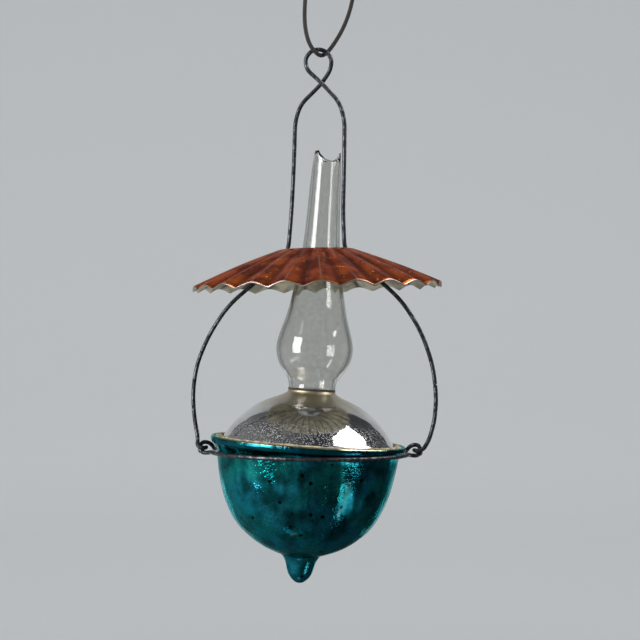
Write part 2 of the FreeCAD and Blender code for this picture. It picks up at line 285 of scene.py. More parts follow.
def turned(points, closed=True, steps=96):
    """A bmesh of an outline spun once about Z."""
    shape = bmesh.new()
    verts = [shape.verts.new(point) for point in points]
    edges = [shape.edges.new(pair) for pair in zip(verts, verts[1:])]
    if closed:
        edges.append(shape.edges.new((verts[-1], verts[0])))
    bmesh.ops.spin(
        shape, geom=verts + edges, cent=(0, 0, 0), axis=(0, 0, 1), angle=math.tau, steps=steps, use_merge=True
    )
    bmesh.ops.remove_doubles(shape, verts=shape.verts[:], dist=1e-7)
    bmesh.ops.recalc_face_normals(shape, faces=shape.faces[:])
    return shape


def turned_skin(points, steps):
    """An open skin spun from a line of points, facing up."""
    shape = turned(points, closed=False, steps=steps)
    if sum(face.normal.z for face in shape.faces) < 0:
        bmesh.ops.reverse_faces(shape, faces=shape.faces[:])
    return shape


def mark_height(shape, low, high):
    """Store how far up each point is between two heights, for the finish to read."""
    rise = shape.verts.layers.float.new("rise")
    for vert in shape.verts:
        vert[rise] = min(1.0, max(0.0, (vert.co.z - low * MM) / ((high - low) * MM)))


def placed(shape, place):
    """A mesh of a bmesh, moved to its place."""
    shape.transform(place)
    mesh = bpy.data.meshes.new("piece")
    shape.to_mesh(mesh)
    shape.free()
    return mesh


def joined(meshes):
    """One mesh of several."""
    shape = bmesh.new()
    for mesh in meshes:
        shape.from_mesh(mesh)
        bpy.data.meshes.remove(mesh)
    return placed(shape, Matrix.Identity(4))


# --------------------------------------------------------------- shader kit
def add(tree, kind, inputs=None, **settings):
    """Add a shader node, set it up and fill its inputs with values or links."""
    made = tree.nodes.new("ShaderNode" + kind)
    for key, value in settings.items():
        setattr(made, key, value)
    for key, value in (inputs or {}).items():
        if isinstance(value, bpy.types.NodeSocket):
            tree.links.new(value, made.inputs[key])
        else:
            made.inputs[key].default_value = value
    return made


def ranged(tree, value, low, high, start=0.0, end=1.0):
    """A value moved from one range to another, and held inside it."""
    made = add(
        tree, "MapRange",
        {"Value": value, "From Min": low, "From Max": high, "To Min": start, "To Max": end},
        interpolation_type="SMOOTHSTEP",
    )
    return made.outputs[0]


def product(tree, first, second):
    """Two values multiplied."""
    return add(tree, "Math", {0: first, 1: second}, operation="MULTIPLY").outputs[0]


def new_group(name, inputs):
    """A node group with a vector and these numbers going in, and one value coming out."""
    tree = bpy.data.node_groups.new(name, "ShaderNodeTree")
    tree.interface.new_socket("Vector", in_out="INPUT", socket_type="NodeSocketVector")
    for label, value in inputs.items():
        socket = tree.interface.new_socket(label, in_out="INPUT", socket_type="NodeSocketFloat")
        socket.default_value = value
    tree.interface.new_socket("Value", in_out="OUTPUT", socket_type="NodeSocketFloat")
    return tree, tree.nodes.new("NodeGroupInput").outputs, tree.nodes.new("NodeGroupOutput").inputs


def mottle_group():
    """Cloudy patches, from 0 to 1."""
    tree, given, result = new_group("Mottle", {"Scale": 300.0, "Detail": 5.0, "Low": 0.4, "High": 0.6})
    clouds = add(tree, "TexNoise", {label: given[label] for label in ("Vector", "Scale", "Detail")})
    value = ranged(tree, clouds.outputs["Fac"], given["Low"], given["High"])
    tree.links.new(value, result["Value"])
    return tree


SPECK_CORE = 0.55  # the share of a speck's reach that is solid


def speck_group():
    """Small round specks: 1 in a speck and 0 between."""
    tree, given, result = new_group("Specks", {"Scale": 1000.0, "Reach": 0.3, "Share": 0.5})
    cells = add(tree, "TexVoronoi", {"Vector": given["Vector"], "Scale": given["Scale"]})
    core = product(tree, given["Reach"], SPECK_CORE)
    dot = ranged(tree, cells.outputs["Distance"], given["Reach"], core)
    pick = add(tree, "SeparateColor", {0: cells.outputs["Color"]})
    chosen = add(tree, "Math", {0: pick.outputs[0], 1: given["Share"]}, operation="LESS_THAN")
    tree.links.new(product(tree, dot, chosen.outputs[0]), result["Value"])
    return tree


class Finish:
    """A material with its Principled shader and the coordinates that its pattern follows."""

    def __init__(self, name, **plain):
        self.material = bpy.data.materials.new(name)
        self.material.use_nodes = True
        self.tree = self.material.node_tree
        self.shader = self.tree.nodes["Principled BSDF"]
        self.place = add(self.tree, "TexCoord").outputs["Object"]
        for label, value in plain.items():
            self.shader.inputs[label.replace("_", " ")].default_value = value

    def pattern(self, group, **values):
        """A shared pattern with its own values."""
        made = self.tree.nodes.new("ShaderNodeGroup")
        made.node_tree = bpy.data.node_groups[group]
        vector = values.pop("Vector", self.place)
        self.tree.links.new(vector, made.inputs["Vector"])
        for label, value in values.items():
            made.inputs[label].default_value = value
        return made.outputs["Value"]

    def stretched(self, *scale):
        """The coordinates, stretched by this much along X, Y and Z."""
        made = add(self.tree, "Mapping", {"Vector": self.place})
        made.inputs["Scale"].default_value = scale
        return made.outputs["Vector"]

    def attribute(self, name):
        """A number stored on the mesh."""
        return add(self.tree, "Attribute", attribute_name=name).outputs["Fac"]

    def mix(self, share, first, second):
        """A colour between two others, each a link or a plain colour."""
        made = add(self.tree, "Mix", {0: share}, data_type="RGBA")
        for socket, value in ((made.inputs[6], first), (made.inputs[7], second)):
            if isinstance(value, bpy.types.NodeSocket):
                self.tree.links.new(value, socket)
            else:
                socket.default_value = (*value, 1.0)
        return made.outputs[2]

    def drive(self, socket, value):
        """Feed one of the shader's inputs."""
        self.tree.links.new(value, self.shader.inputs[socket])

    def bumps(self, *layers):
        """Raise the surface by height patterns, each with its depth in metres."""
        normal = None
        for height, depth in layers:
            made = add(self.tree, "Bump", {"Height": height, "Distance": depth})
            if normal:
                self.tree.links.new(normal, made.inputs["Normal"])
            normal = made.outputs[0]
        self.drive("Normal", normal)


# ------------------------------------------------------------------ finishes
def cord_finish():
    """Dark laid fibre with paler dust between the plies."""
    finish = Finish("cord_fibre", Roughness=0.80, Sheen_Weight=0.06, Sheen_Roughness=0.5)
    dust = finish.pattern("Mottle", Scale=2600.0, Detail=3.0, Low=0.42, High=0.68)
    finish.drive("Base Color", finish.mix(dust, colours().cord, (0.028, 0.021, 0.017)))
    fibres = finish.pattern("Mottle", Scale=6000.0, Detail=2.0, Low=0.3, High=0.7)
    finish.bumps((fibres, 0.018 * MM))
    return finish.material


def iron_finish():
    """Blackened wire with rough mill scale and a little rust."""
    finish = Finish("blackened_iron", Metallic=0.85)
    scale = finish.pattern("Mottle", Scale=900.0, Detail=6.0, Low=0.38, High=0.62)
    rust = finish.pattern("Specks", Scale=700.0, Reach=0.32, Share=0.18)
    worn = finish.mix(scale, colours().iron, (0.075, 0.082, 0.090))
    finish.drive("Base Color", finish.mix(product(finish.tree, rust, 0.55), worn, (0.105, 0.050, 0.026)))
    finish.drive("Roughness", ranged(finish.tree, scale, 0.0, 1.0, 0.50, 0.30))
    grain = finish.pattern("Mottle", Scale=2400.0, Detail=4.0, Low=0.3, High=0.7)
    finish.bumps((grain, 0.028 * MM))
    return finish.material


def pleat_coordinates(finish):
    """Pleats counted round the shade, and the share of the way from collar to rim."""
    return add(finish.tree, "SeparateXYZ", {0: add(finish.tree, "UVMap", uv_map="pleats").outputs[0]})


def pleat_share(finish, middle, half_width):
    """1 where a pleat is this far from its crest (0.5 is its valley), fading to 0 half_width away."""
    tree = finish.tree
    part = add(tree, "Math", {0: pleat_coordinates(finish).outputs[0]}, operation="FRACT")
    off = add(tree, "Math", {0: part.outputs[0], 1: 0.5}, operation="SUBTRACT")
    away = add(tree, "Math", {0: off.outputs[0]}, operation="ABSOLUTE")
    gap = add(tree, "Math", {0: away.outputs[0], 1: middle}, operation="SUBTRACT")
    distance = add(tree, "Math", {0: gap.outputs[0]}, operation="ABSOLUTE")
    return ranged(tree, distance.outputs[0], half_width, 0.0)


def lacquer_finish():
    """Orange-brown lacquer over tin: mottled, sparkling, rubbed pale along the creases, and darkened towards
    the pleats' valleys by painted shade.
    """
    finish = Finish("copper_lacquer", Metallic=0.80, Coat_Weight=0.10, Coat_Roughness=0.12)
    finish.shader.inputs["Specular Tint"].default_value = (0.75, 0.30, 0.12, 1.0)
    tree = finish.tree
    clouds = finish.pattern("Mottle", Scale=190.0, Detail=7.0, Low=0.36, High=0.62)
    grain = finish.pattern("Mottle", Scale=1500.0, Detail=3.0, Low=0.40, High=0.66)
    spark = finish.pattern("Specks", Scale=1300.0, Reach=0.42, Share=0.16)
    patch = finish.pattern("Mottle", Scale=420.0, Detail=2.0, Low=0.48, High=0.66)
    ground = finish.mix(clouds, colours().copper_dark, colours().copper)
    ground = finish.mix(product(tree, grain, 0.55), ground, (0.30, 0.066, 0.012))
    ground = finish.mix(product(tree, spark, patch), ground, (0.95, 0.42, 0.17))
    wear = finish.pattern("Mottle", Scale=500.0, Detail=4.0, Low=0.34, High=0.60)
    # Painted shade: the lacquer darkens towards each pleat's valley.
    ground = finish.mix(product(tree, pleat_share(finish, 0.5, 0.26), 0.72), ground, (0.040, 0.009, 0.004))
    rubbed = product(tree, pleat_share(finish, 0.0, 0.05), ranged(tree, wear, 0.0, 1.0, 0.35, 1.0))
    ground = finish.mix(rubbed, ground, (0.30, 0.155, 0.115))
    bare = ranged(tree, pleat_coordinates(finish).outputs[1], 0.986, 0.994)
    finish.drive("Base Color", finish.mix(bare, ground, colours().cut_tin))
    finish.drive("Roughness", ranged(tree, clouds, 0.0, 1.0, 0.42, 0.26))
    finish.bumps((grain, 0.025 * MM))
    return finish.material


def tin_finish(name, shade, rough, metal, painted_crease_shade):
    """Tin without lacquer, dull and stained, with painted shade along its creases as strong as the last
    argument asks.
    """
    finish = Finish(name, Metallic=metal)
    stain = finish.pattern("Mottle", Scale=260.0, Detail=6.0, Low=0.38, High=0.64)
    darker = tuple(0.55 * part for part in shade)
    ground = finish.mix(stain, darker, tuple(shade))
    # Painted shade: the tin darkens along its creases.
    dirt_and_painted_crease_shade = product(finish.tree, pleat_share(finish, 0.0, 0.16), painted_crease_shade)
    finish.drive("Base Color", finish.mix(dirt_and_painted_crease_shade, ground, (0.055, 0.048, 0.030)))
    finish.drive("Roughness", ranged(finish.tree, stain, 0.0, 1.0, rough + 0.15, rough))
    grain = finish.pattern("Mottle", Scale=2000.0, Detail=3.0, Low=0.3, High=0.7)
    finish.bumps((grain, 0.012 * MM))
    return finish.material


def teal_finish():
    """Teal lacquer over silvered glass: cloudy, crackled in places, with dark pinholes and a worn lip."""
    finish = Finish("teal_silvered_glass", Metallic=1.0, Coat_Weight=0.14, Coat_Roughness=0.06, Coat_IOR=1.45)
    finish.shader.inputs["Specular Tint"].default_value = (0.10, 0.62, 0.66, 1.0)
    tree = finish.tree
    hue = finish.pattern("Mottle", Scale=70.0, Detail=3.0, Low=0.42, High=0.58)
    clouds = finish.pattern("Mottle", Scale=210.0, Detail=8.0, Low=0.33, High=0.62)
    grain = finish.pattern("Mottle", Scale=1400.0, Detail=3.0, Low=0.36, High=0.64)
    ground = finish.mix(hue, colours().teal, colours().blue)
    ground = finish.mix(clouds, (0.0, 0.050, 0.055), ground)
    ground = finish.mix(product(tree, grain, 0.45), ground, (0.0, 0.11, 0.12))
    pins = finish.pattern("Specks", Scale=420.0, Reach=0.28, Share=0.32)
    ground = finish.mix(pins, ground, (0.0, 0.006, 0.008))
    flare = product(tree, ranged(tree, finish.attribute("rise"), 0.925, 0.950), 0.60)
    ground = finish.mix(flare, ground, (0.0, 0.060, 0.100))
    lip = ranged(tree, finish.attribute("rise"), 0.988, 0.996)
    finish.drive("Base Color", finish.mix(lip, ground, (0.42, 0.42, 0.25)))
    streaky = finish.pattern("Mottle", Scale=100.0, Detail=2.0, Low=0.42, High=0.58)
    finish.drive("Roughness", ranged(tree, streaky, 0.0, 1.0, 0.30, 0.12))
    ripple = finish.pattern("Mottle", Scale=120.0, Detail=1.0, Low=0.1, High=0.9)
    tall = finish.stretched(1.0, 1.0, 0.22)
    flow = finish.pattern("Mottle", Vector=tall, Scale=330.0, Detail=1.0, Low=0.1, High=0.9)
    crackle = product(tree, finish.pattern("Mottle", Scale=1300.0, Detail=2.0, Low=0.3, High=0.7), streaky)
    finish.bumps((ripple, 0.55 * MM), (flow, 0.16 * MM), (crackle, 0.045 * MM))
    return finish.material


def silver_finish():
    """Silvered glass with a warm stain round the neck and, lower down, fine dull specks."""
    finish = Finish("silvered_glass", Coat_Weight=0.6, Coat_Roughness=0.03)
    tree = finish.tree
    freckles = finish.pattern("Specks", Scale=4100.0, Reach=0.55, Share=0.45)
    clouds = finish.pattern("Mottle", Scale=160.0, Detail=6.0, Low=0.40, High=0.62)
    neck = ranged(tree, finish.attribute("rise"), 0.60, 0.92)
    ground = finish.mix(product(tree, clouds, 0.55), colours().silver, (0.34, 0.34, 0.36))
    low_down = ranged(tree, finish.attribute("rise"), 0.64, 0.40)
    specks = product(tree, product(tree, freckles, low_down), ranged(tree, clouds, 0.0, 1.0, 0.50, 0.85))
    ground = finish.mix(specks, ground, (0.47, 0.47, 0.50))
    finish.drive("Base Color", finish.mix(neck, ground, colours().tarnish))
    finish.drive("Metallic", ranged(tree, specks, 0.0, 1.0, 1.0, 0.30))
    dull_specks, dull_neck = product(tree, specks, 0.35), product(tree, neck, 0.40)
    dull = add(tree, "Math", {0: dull_specks, 1: dull_neck}, operation="MAXIMUM")
    finish.drive("Roughness", add(tree, "Math", {0: dull.outputs[0], 1: 0.05}, operation="ADD").outputs[0])
    ripple = finish.pattern("Mottle", Scale=90.0, Detail=1.0, Low=0.1, High=0.9)
    peel = finish.pattern("Mottle", Scale=2600.0, Detail=2.0, Low=0.2, High=0.8)
    finish.bumps((ripple, 0.06 * MM), (peel, 0.003 * MM))
    return finish.material


def glass_finish():
    """Thin clear glass with painted shade that darkens it where it is seen along its wall."""
    finish = Finish("clear_glass", Roughness=0.0, IOR=1.48, Transmission_Weight=1.0)
    # Painted shade: the colour darkens towards the glass's outline, where its wall is seen edge on, and less
    # so just below the rim.
    facing = add(finish.tree, "LayerWeight", {"Blend": 0.5}).outputs["Facing"]
    edge = ranged(finish.tree, facing, 0.45, 0.88)
    below_rim = ranged(finish.tree, finish.attribute("rise"), 0.965, 0.93, 0.12, 1.0)
    dust = finish.pattern("Specks", Scale=420.0, Reach=0.10, Share=0.22)
    film = finish.pattern("Mottle", Scale=900.0, Detail=6.0, Low=0.35, High=0.70)
    body = finish.mix(product(finish.tree, film, 0.30), colours().glass, (0.60, 0.60, 0.57))
    body = finish.mix(product(finish.tree, dust, 0.8), body, (0.12, 0.11, 0.10))
    share = product(finish.tree, edge, below_rim)
    finish.drive("Base Color", finish.mix(share, body, colours().glass_edge_shade))
    return finish.material


def mortar_finish(name, shade):
    """Crumbly cement."""
    finish = Finish(name, Roughness=0.9)
    dirt_and_painted_crease_shade = finish.pattern("Mottle", Scale=600.0, Detail=6.0, Low=0.36, High=0.64)
    darker = tuple(0.4 * part for part in shade)
    finish.drive("Base Color", finish.mix(dirt_and_painted_crease_shade, darker, tuple(shade)))
    grain = finish.pattern("Mottle", Scale=2600.0, Detail=4.0, Low=0.3, High=0.7)
    finish.bumps((grain, 0.096 * MM))
    return finish.material


# -------------------------------------------------------------- hanging cord
CORD_ROUTE = (
    (-0.7, -0.1, -2.2), (-2.0, -0.4, -7.0), (-3.1, -0.8, -13.5), (-3.7, -1.3, -20.0), (-3.9, -2.0, -26.3),
    (-2.9, -2.3, -31.2), (-0.9, -1.35, -33.8), (0.8, 1.35, -33.8), (3.0, 2.3, -31.4), (6.2, 1.7, -26.2),
    (8.2, 0.9, -20.2), (8.9, 0.5, -13.6), (7.2, 0.2, -7.4), (3.4, 0.1, -3.4), (0.8, 0.1, -2.0),
)


def wound(points, reach, lay, start):
    """Points that wind round a line, at this distance, once in each lay of its length."""
    heading = points[1] - points[0]
    side = heading.orthogonal().normalized()
    travelled = 0.0
    result = []
    for here, after in zip(points, points[1:] + [2 * points[-1] - points[-2]]):
        ahead = after - here
        side.rotate(heading.rotation_difference(ahead))
        heading = ahead
        turn = Matrix.Rotation(start + math.tau * travelled / lay, 3, heading)
        result.append(here + turn @ side * reach)
        travelled += heading.length
    return result


def laid_cord(points, plies=3):
    """A cord of round plies laid together along these points."""
    reach = 0.26 * sizes().cord_diameter
    ply = 0.29 * sizes().cord_diameter
    meshes = []
    for number in range(plies):
        route = wound(points, reach, sizes().cord_lay, math.tau * number / plies)
        curve = new_curve("ply")
        spline = curve.splines.new("POLY")
        spline.points.add(len(route) - 1)
        for control, point in zip(spline.points, route):
            control.co = (*point, 1.0)
        meshes.append(tube(curve, ply, 2))
    return joined(meshes)


class LAMP_OT_cord(bpy.types.Operator):
    """Make the hanging cord and the knot that ties it"""

    bl_idname = "lamp.cord"
    bl_label = "Hanging Cord"

    def execute(self, context):
        finish = cord_finish()
        route = [Vector(point) * MM for point in CORD_ROUTE]
        middle = points_of(spline_curve("cord_line", route, steps=32))
        cord = finished("laid_cord", laid_cord(middle), "hanger", "hanging_cord", "cord", finish)
        knot = finished("overhand_knot", self.knot(), "hanger", "cord_knot", "cord", finish)
        return {"FINISHED"}

    def knot(self):
        """An overhand knot pulled tight, with two short tails standing up from it."""
        centre = node_middle("cord_knot")
        bulk = 0.42 * MM
        loop = []
        for step in range(12):
            turn = math.tau * step / 12
            loop.append(centre + bulk * Vector((
                math.sin(turn) + 2 * math.sin(2 * turn), -1.1 * math.sin(3 * turn),
                math.cos(turn) - 2 * math.cos(2 * turn),
            )))
        closed = points_of(spline_curve("knot_line", loop, order=4, closed=True, steps=16))
        meshes = [laid_cord(closed + closed[:1])]
        for side in (-1, 1):
            tail = [centre + Vector(place) * MM for place in (
                (0.4 * side, 0.3 * side, 0.6), (0.9 * side, 0.5 * side, 2.2), (2.0 * side, 0.7 * side, 3.6),
            )]
            meshes.append(laid_cord(points_of(spline_curve("tail_line", tail, steps=16))))
        return joined(meshes)


# --------------------------------------------------------------------- wires
# Lengths in mm. The ears and the ring are in the ring's own frame, the rest in the whole part's.
EAR_SIDES = {-1: -26.0, 1: 26.1}
EAR_RISE = 0.75
EAR_RADIUS = 1.28
RING_LONG, RING_SHORT = 24.8, 24.0
EYE_SIDE, EYE_HEIGHT, EYE_RADIUS = -0.35, -35.6, 3.2
STRAND = 0.6  # how far each leg passes to its side of the middle where the two cross
LEFT_LEG = (
    (-30.5, -0.5, -129.2), (-31.4, 0, -124.5), (-31.8, 0, -118.3), (-30.9, 0, -111.4), (-28.0, 0, -104.2),
    (-23.2, 0, -96.6), (-16.2, 0, -90.6), (-10.2, 0, -85.8), (-7.9, 0, -82.4), (-7.1, 0, -73.0),
    (-6.5, 0, -61.0), (-6.2, 0, -50.5), (-4.9, 0.35 * STRAND, -46.2), (0.35, STRAND, -40.9),
)
RIGHT_LEG = (
    (0.45, -STRAND, -40.9), (4.8, -0.35 * STRAND, -45.5), (6.15, 0, -50.0), (6.05, 0, -60.5),
    (5.75, 0, -73.5), (6.15, 0, -82.2), (8.5, 0, -85.4), (14.2, 0, -89.5), (20.5, 0, -95.2),
    (25.4, 0, -103.0), (28.3, 0, -111.6), (29.1, 0, -119.6), (28.6, 0, -125.4), (27.2, -0.5, -130.0),
)


def ear_middle(side):
    """The middle of the ring's ear on one side, in mm."""
    return ring_place() @ (Vector((EAR_SIDES[side], 0, EAR_RISE)) * MM) / MM


def hook_corners(side):
    """Corners of the hook through an ear, from its tail to the leg, in mm."""
    ear = ear_middle(side)
    reach, outward = 1.4, 2.0 * side
    return [
        (ear.x + outward, reach, ear.z - 1.1), (ear.x, reach, ear.z),
        (ear.x, -reach, ear.z), (ear.x + outward, -reach, ear.z + 0.2),
    ]


def eye_corners(corners=6):
    """Corners round the bail's eye, from its lower right over the top to its lower left, in mm."""
    first, last = math.radians(-32), math.radians(212)
    step = (last - first) / (corners - 1)
    reach = EYE_RADIUS / math.cos(step / 2)
    middle = (corners - 1) / 2
    points = []
    for number in range(corners):
        angle = first + step * number
        depth = 0.6 * STRAND * (middle - number) / middle
        points.append((EYE_SIDE + reach * math.cos(angle), depth, EYE_HEIGHT + reach * math.sin(angle)))
    return points


def ring_corners():
    """Control points of the ring's closed wire, in its own frame in mm: two arcs, and a loop at each ear."""
    arc = [math.radians(10 + 8 * number) for number in range(21)]
    low, high = EAR_RISE - EAR_RADIUS, EAR_RISE + EAR_RADIUS
    points = []
    for side in (1, -1):
        ear = abs(EAR_SIDES[side])
        outer = ear + 1.12 * EAR_RADIUS
        loop = [
            (ear - 1.6, -2.1, low * 0.5), (ear - 0.4, -0.55, low * 1.05), (outer, -0.1, low * 1.1),
            (outer + 0.1, 0.1, high * 1.04), (ear - 0.4, 0.35, high * 1.07), (ear - 1.6, 1.7, high * 0.55),
        ]
        loop = [(side * across, deep, up) for across, deep, up in loop]
        points += loop if side > 0 else loop[::-1]
        turns = arc if side > 0 else [turn + math.pi for turn in arc]
        points += [(RING_LONG * math.cos(turn), RING_SHORT * math.sin(turn), 0) for turn in turns]
    return points


DENT_SPACING, DENT_DEPTH = 0.8 * MM, 0.018 * MM


def worn_wire(mesh):
    """Leave a wire faintly uneven, as drawn and hand-bent iron is."""
    for vertex in mesh.vertices:
        vertex.co += vertex.normal * noise.noise(vertex.co / DENT_SPACING) * DENT_DEPTH
    return mesh


class LAMP_OT_wires(bpy.types.Operator):
    """Make the bail and the ring, each bent from one wire"""

    bl_idname = "lamp.wires"
    bl_label = "Bail and Ring"

    def execute(self, context):
        finish = iron_finish()
        radius = sizes().wire_diameter / 2
        corners = hook_corners(-1) + list(LEFT_LEG) + eye_corners() + list(RIGHT_LEG) + hook_corners(1)[::-1]
        bail = tube(bent_curve("bail_line", [Vector(corner) * MM for corner in corners]), radius)
        finished("bail_and_hooks", worn_wire(bail), "bail", "bail_wire", "wire", finish)
        corners = [ring_place() @ (Vector(corner) * MM) for corner in ring_corners()]
        ring = tube(spline_curve("ring_line", corners, order=4, closed=True, steps=8), radius)
        finished("ring_and_ears", worn_wire(ring), "ring", "ring_wire", "wire", finish)
        return {"FINISHED"}


# --------------------------------------------------------------------- shade
class LAMP_OT_shade(bpy.types.Operator):
    """Make the pleated tin shade"""

    bl_idname = "lamp.shade"
    bl_label = "Pleated Shade"

    HOLE, COLLAR = 8.2 * MM, 9.4 * MM  # radii
    STEPS_A_PLEAT, STEPS_DOWN = 14, 14
    # How far the creases wander, in pleats, and how uneven the pleats' heights are.
    WANDER, WANDER_SPACING = 0.055, 9 * MM
    UNEVEN, UNEVEN_SPACING, UNEVEN_LEVEL = 0.22, 12 * MM, 8 * MM
    # How round the crests are, and the part of a pleat's height that lies in the plain cone.
    ROUNDED, MID_HEIGHT = 0.72, 0.55
    SWELL = 0.35 * MM  # how far the cone bulges

    def execute(self, context):
        shape = self.cone()
        self.crimp(shape)
        # The underside's tin takes painted shade along its creases; the cut edge takes none.
        materials = (
            lacquer_finish(), tin_finish("bare_tin", colours().tin, 0.42, 0.30, 0.90),
            tin_finish("cut_tin", colours().cut_tin, 0.30, 0.75, 0.0),
        )
        mesh = placed(shape, shade_place())
        shade = finished("pleated_tin_shade", mesh, "shade", "pleated_shade", "shade_tin", *materials)
        wall = shade.modifiers.new("tin", "SOLIDIFY")
        wall.thickness = sizes().sheet
        wall.offset = -1.0
        wall.material_offset, wall.material_offset_rim = 1, 2
        return {"FINISHED"}

    def cone(self):
        """A flat collar and the shade round it, as one flat skin."""
        span = sizes().shade_radius - self.COLLAR
        radii = [self.HOLE, (self.HOLE + self.COLLAR) / 2]
        radii += [self.COLLAR + span * part / self.STEPS_DOWN for part in range(self.STEPS_DOWN + 1)]
        return turned_skin([Vector((radius, 0, 0)) for radius in radii], sizes().pleats * self.STEPS_A_PLEAT)

    def pleat_count(self, x, y):
        """How many pleats round from the first valley a point is."""
        return (math.atan2(x, -y) - sizes().first_valley) / math.tau * sizes().pleats

    def crimp(self, shape):
        """Drop the skin into a cone, raise its pleats and store where each point is across its pleat."""
        span = sizes().shade_radius - self.COLLAR
        layer = shape.loops.layers.uv.new("pleats")
        for face in shape.faces:
            centre = face.calc_center_median()
            middle = self.pleat_count(centre.x, centre.y)
            for loop in face.loops:
                x, y, _ = loop.vert.co
                across = self.pleat_count(x, y)
                across += sizes().pleats * round((middle - across) / sizes().pleats)
                loop[layer].uv = (across, max(0.0, math.hypot(x, y) - self.COLLAR) / span)
        for vert in shape.verts:
            x, y, _ = vert.co
            share = max(0.0, math.hypot(x, y) - self.COLLAR) / span
            wander = self.WANDER * noise.noise(Vector((x, y, 0)) / self.WANDER_SPACING) * share
            part = (self.pleat_count(x, y) + wander) % 1.0
            arch = self.ROUNDED * abs(math.sin(math.pi * part)) + (1 - self.ROUNDED) * (1 - abs(1 - 2 * part))
            uneven = 1 + self.UNEVEN * noise.noise(Vector((x, y, self.UNEVEN_LEVEL)) / self.UNEVEN_SPACING)
            vert.co.z = sizes().pleat_rise * share * uneven * (arch - self.MID_HEIGHT)
            vert.co.z += self.SWELL * math.sin(math.pi * share) - sizes().shade_drop * share


# --------------------------------------------------------------------- glass
# Outlines as (radius, height) pairs in mm from the middle of the lip. The bowl's goes up its inside and
# down its outside, the dome's up its outside and down its inside, and the chimney's up its outside.
BOWL = (
    (0, -27.2), (6, -26.6), (12, -24.0), (16.6, -19.4), (19.9, -13), (21.4, -6), (21.7, -3.4), (22.3, -1.7),
    (23.3, -0.7), (23.55, 0.25), (23.95, 0.62), (24.33, 0.2), (24.15, -0.8), (23.4, -1.6), (22.75, -2.7),
    (22.45, -4.5), (21.85, -8), (20.9, -12), (19.4, -16), (17.1, -20), (14.15, -23), (10.6, -25.5),
    (7.15, -27.1), (5.0, -27.95), (4.15, -29), (3.65, -30.2), (3.35, -31.4), (2.75, -32.9), (1.75, -34.1),
    (0.8, -34.75), (0, -34.9),
)
DOME = (
    (20.65, -2.4), (21.35, -2.4), (21.5, -0.6), (21.3, 0.5), (20.5, 1.8), (19.2, 3.7), (17.6, 5.5),
    (15.3, 7.6), (12.9, 9.25), (10.3, 10.5), (8.2, 11.35), (6.9, 11.95), (6.1, 12.5), (5.9, 13.0),
    (5.2, 13.0), (5.3, 12.3), (7.5, 10.9), (11.4, 9.1), (14.6, 7.0), (17.6, 4.1), (19.7, 1.3), (20.6, -0.8),
)
CHIMNEY = (
    (5.85, 13.5), (5.9, 14.6), (6.25, 15.8), (7.1, 17.1), (8.45, 19.1), (9.25, 21.1), (9.6, 23.5),
    (9.35, 25.5), (8.75, 27.8), (8.0, 30.2), (7.25, 33.0), (6.6, 36.4), (5.75, 41), (5.0, 46), (4.5, 51),
    (4.2, 56.5), (4.0, 62), (3.7, 68), (3.3, 73.3),
)


